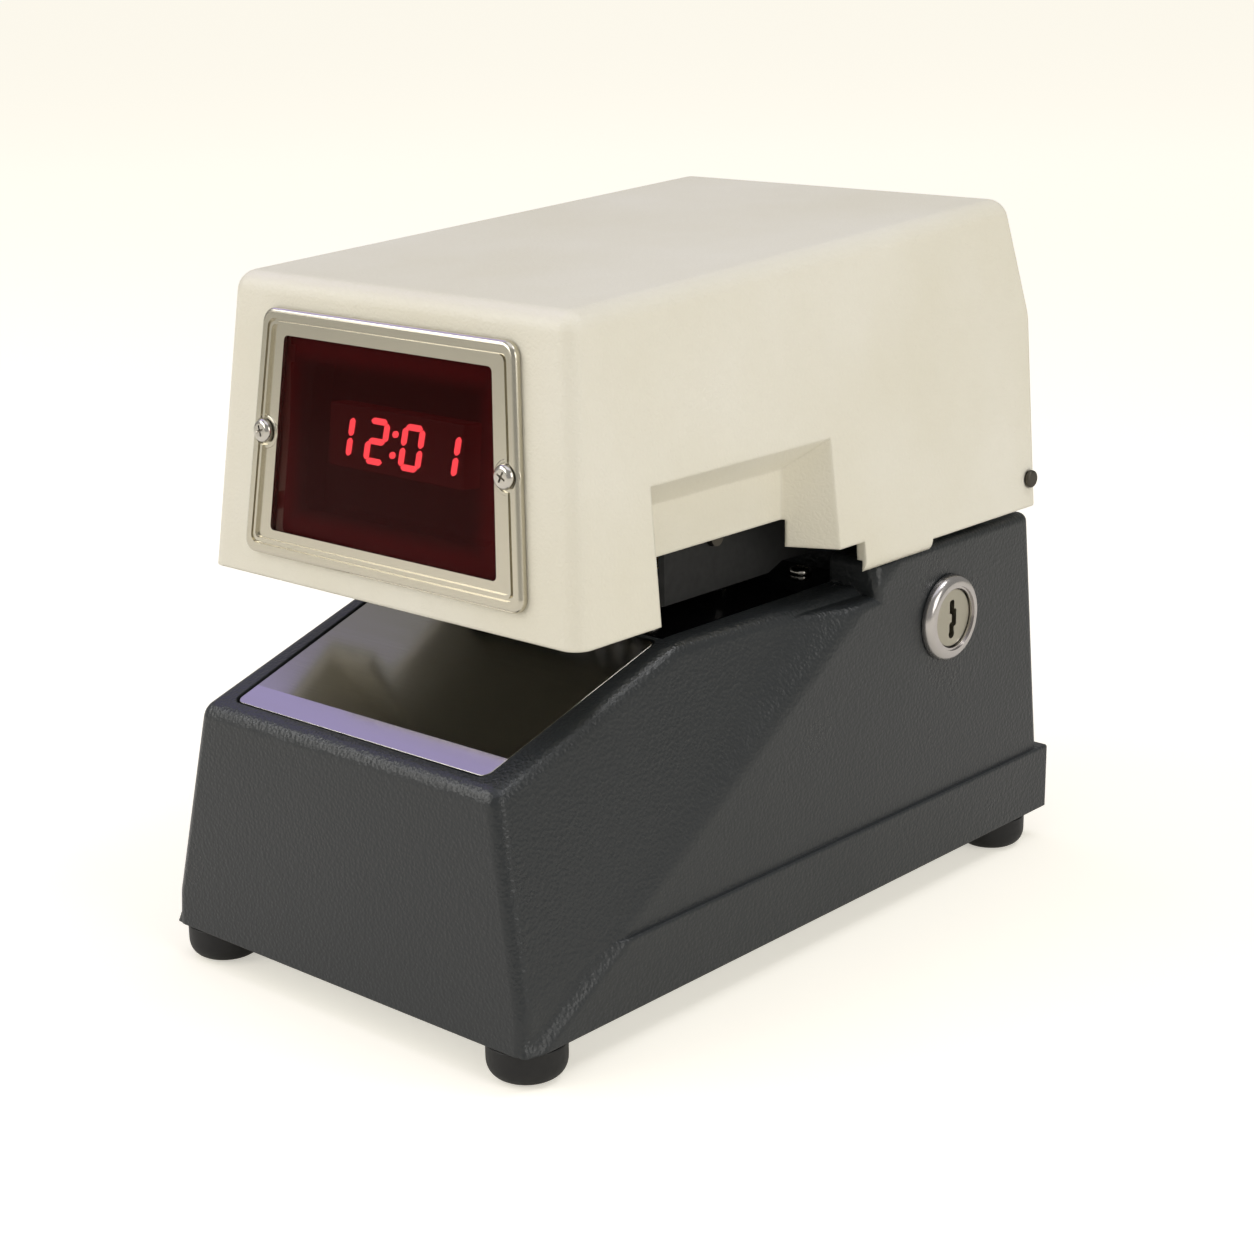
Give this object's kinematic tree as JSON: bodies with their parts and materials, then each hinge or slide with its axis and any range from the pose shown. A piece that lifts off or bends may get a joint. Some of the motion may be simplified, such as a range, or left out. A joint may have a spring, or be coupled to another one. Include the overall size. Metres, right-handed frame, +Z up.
{
  "type": "punch time clock",
  "caption": "Desktop time stamp: a hinged ivory cover with a red digital display over a charcoal base, a paper slot between them, a side key lock and a working print head.",
  "frame": {"origin": "on the table under the middle of the base, midway between front and rear edges, at the underside of the rubber feet", "axes": "+X to the right seen from the front, where the key lock is; +Y towards the back; +Z up; the display faces -Y"},
  "size_m": [0.1399, 0.234, 0.199],
  "materials": {
    "housing": "dark charcoal textured paint on a die-cast shell",
    "cover": "ivory moulded plastic with a fine leather grain",
    "steel": "brushed stainless sheet",
    "bright": "bright polished or satin plating",
    "black": "black gloss",
    "rubber": "black satin rubber",
    "lens": "deep red clear filter",
    "digits": "dark face with red lit bars",
    "board": "green circuit board",
    "brass": "machined brass",
    "type": "engraved type metal",
    "ribbon": "inked woven ribbon",
    "knob": "ivory plastic",
    "copper": "varnished winding with a taped cover"
  },
  "bodies": {
    "base": {"base_housing": "housing", "bottom_plate": "steel", "clock_motor": "steel", "detent_comb": "steel", "foot_front_left": "rubber", "foot_front_right": "rubber", "foot_rear_left": "rubber", "foot_rear_right": "rubber", "frame_floor": "steel", "frame_plate_left": "steel", "frame_plate_right": "steel", "hammer_bracket": "steel", "hammer_shaft": "bright", "hinge_bracket_left": "steel", "hinge_bracket_right": "steel", "hinge_pin_left": "bright", "hinge_pin_right": "bright", "inlet_screw_left": "bright", "inlet_screw_right": "bright", "lock_barrel": "bright", "lock_nut": "steel", "main_board": "board", "power_inlet": "black", "return_spring": "bright", "ribbon_band": "ribbon", "ribbon_cassette": "black", "ribbon_shield": "black", "solenoid": "copper", "table_plate": "steel", "throat_plate": "black", "throat_screw_1": "bright", "throat_screw_2": "bright", "throat_screw_3": "bright", "throat_screw_4": "bright", "transformer": "copper", "trigger_switch": "black", "wheel_shaft": "bright"},
    "cover": {"top_cover": "cover", "display_bezel": "bright", "bezel_screw_left": "bright", "bezel_screw_right": "bright", "display_lens": "lens", "digit_module": "digits", "display_board": "board", "cover_latch_hook": "steel"},
    "lock": {"lock_plug": "bright", "lock_cam": "steel"},
    "hammer": {"hammer_arm": "steel", "platen_pad": "rubber"},
    "plunger": {"solenoid_plunger": "bright"},
    "minute_drive": {"minute_wheel": "type", "drive_gear": "brass"},
    "pinion": {"motor_pinion": "brass"},
    "tens": {"tens_wheel": "type"},
    "hour": {"hour_wheel": "type"},
    "date": {"date_wheel": "type"},
    "month": {"month_wheel": "type"},
    "knob": {"ribbon_knob": "knob"},
    "trigger": {"trigger_lever": "steel"}
  },
  "joints": [
    {"name": "cover_hinge", "type": "hinge", "parent": "base", "child": "cover", "pos_m": [0, 0.102, 0.117], "axis": [-1, 0, 0], "range_deg": [0, 95]},
    {"name": "lock_turn", "type": "hinge", "parent": "base", "child": "lock", "pos_m": [0.0671, 0.0625, 0.083], "axis": [1, 0, 0], "range_deg": [0, 90]},
    {"name": "hammer_swing", "type": "hinge", "parent": "base", "child": "hammer", "pos_m": [0, 0.051, 0.082], "axis": [-1, 0, 0], "range_deg": [0, 5.8]},
    {"name": "plunger_slide", "type": "slide", "parent": "base", "child": "plunger", "axis": [0, 0, -1], "range_m": [0, 0.00195], "stiffness_N_per_m": 300, "springref_m": -0.003, "deforming": ["return_spring"]},
    {"name": "minute_spin", "type": "hinge", "parent": "base", "child": "minute_drive", "pos_m": [0, -0.017, 0.1192], "axis": [1, 0, 0], "continuous": true},
    {"name": "pinion_spin", "type": "hinge", "parent": "base", "child": "pinion", "pos_m": [0, -0.0086, 0.13375], "axis": [1, 0, 0], "continuous": true},
    {"name": "tens_spin", "type": "hinge", "parent": "base", "child": "tens", "pos_m": [0, -0.017, 0.1192], "axis": [1, 0, 0], "continuous": true},
    {"name": "hour_spin", "type": "hinge", "parent": "base", "child": "hour", "pos_m": [0, -0.017, 0.1192], "axis": [1, 0, 0], "continuous": true},
    {"name": "date_spin", "type": "hinge", "parent": "base", "child": "date", "pos_m": [0, -0.017, 0.1192], "axis": [1, 0, 0], "continuous": true},
    {"name": "month_spin", "type": "hinge", "parent": "base", "child": "month", "pos_m": [0, -0.017, 0.1192], "axis": [1, 0, 0], "continuous": true},
    {"name": "knob_turn", "type": "hinge", "parent": "base", "child": "knob", "pos_m": [-0.024, 0.025, 0.1184], "axis": [0, 0, 1], "continuous": true},
    {"name": "trigger_tilt", "type": "hinge", "parent": "base", "child": "trigger", "pos_m": [0.028, 0.007, 0.086], "axis": [-1, 0, 0], "range_deg": [0, 20], "stiffness_Nm_per_rad": 0.02, "springref_deg": -11.46}
  ],
  "couplings": [
    {"joint": "plunger_slide", "follows": "hammer_swing", "m_per_rad": 0.019},
    {"joint": "pinion_spin", "follows": "minute_spin", "ratio": -2.5},
    {"joint": "tens_spin", "follows": "minute_spin", "ratio": 0.1},
    {"joint": "hour_spin", "follows": "minute_spin", "ratio": 0.013889}
  ]
}
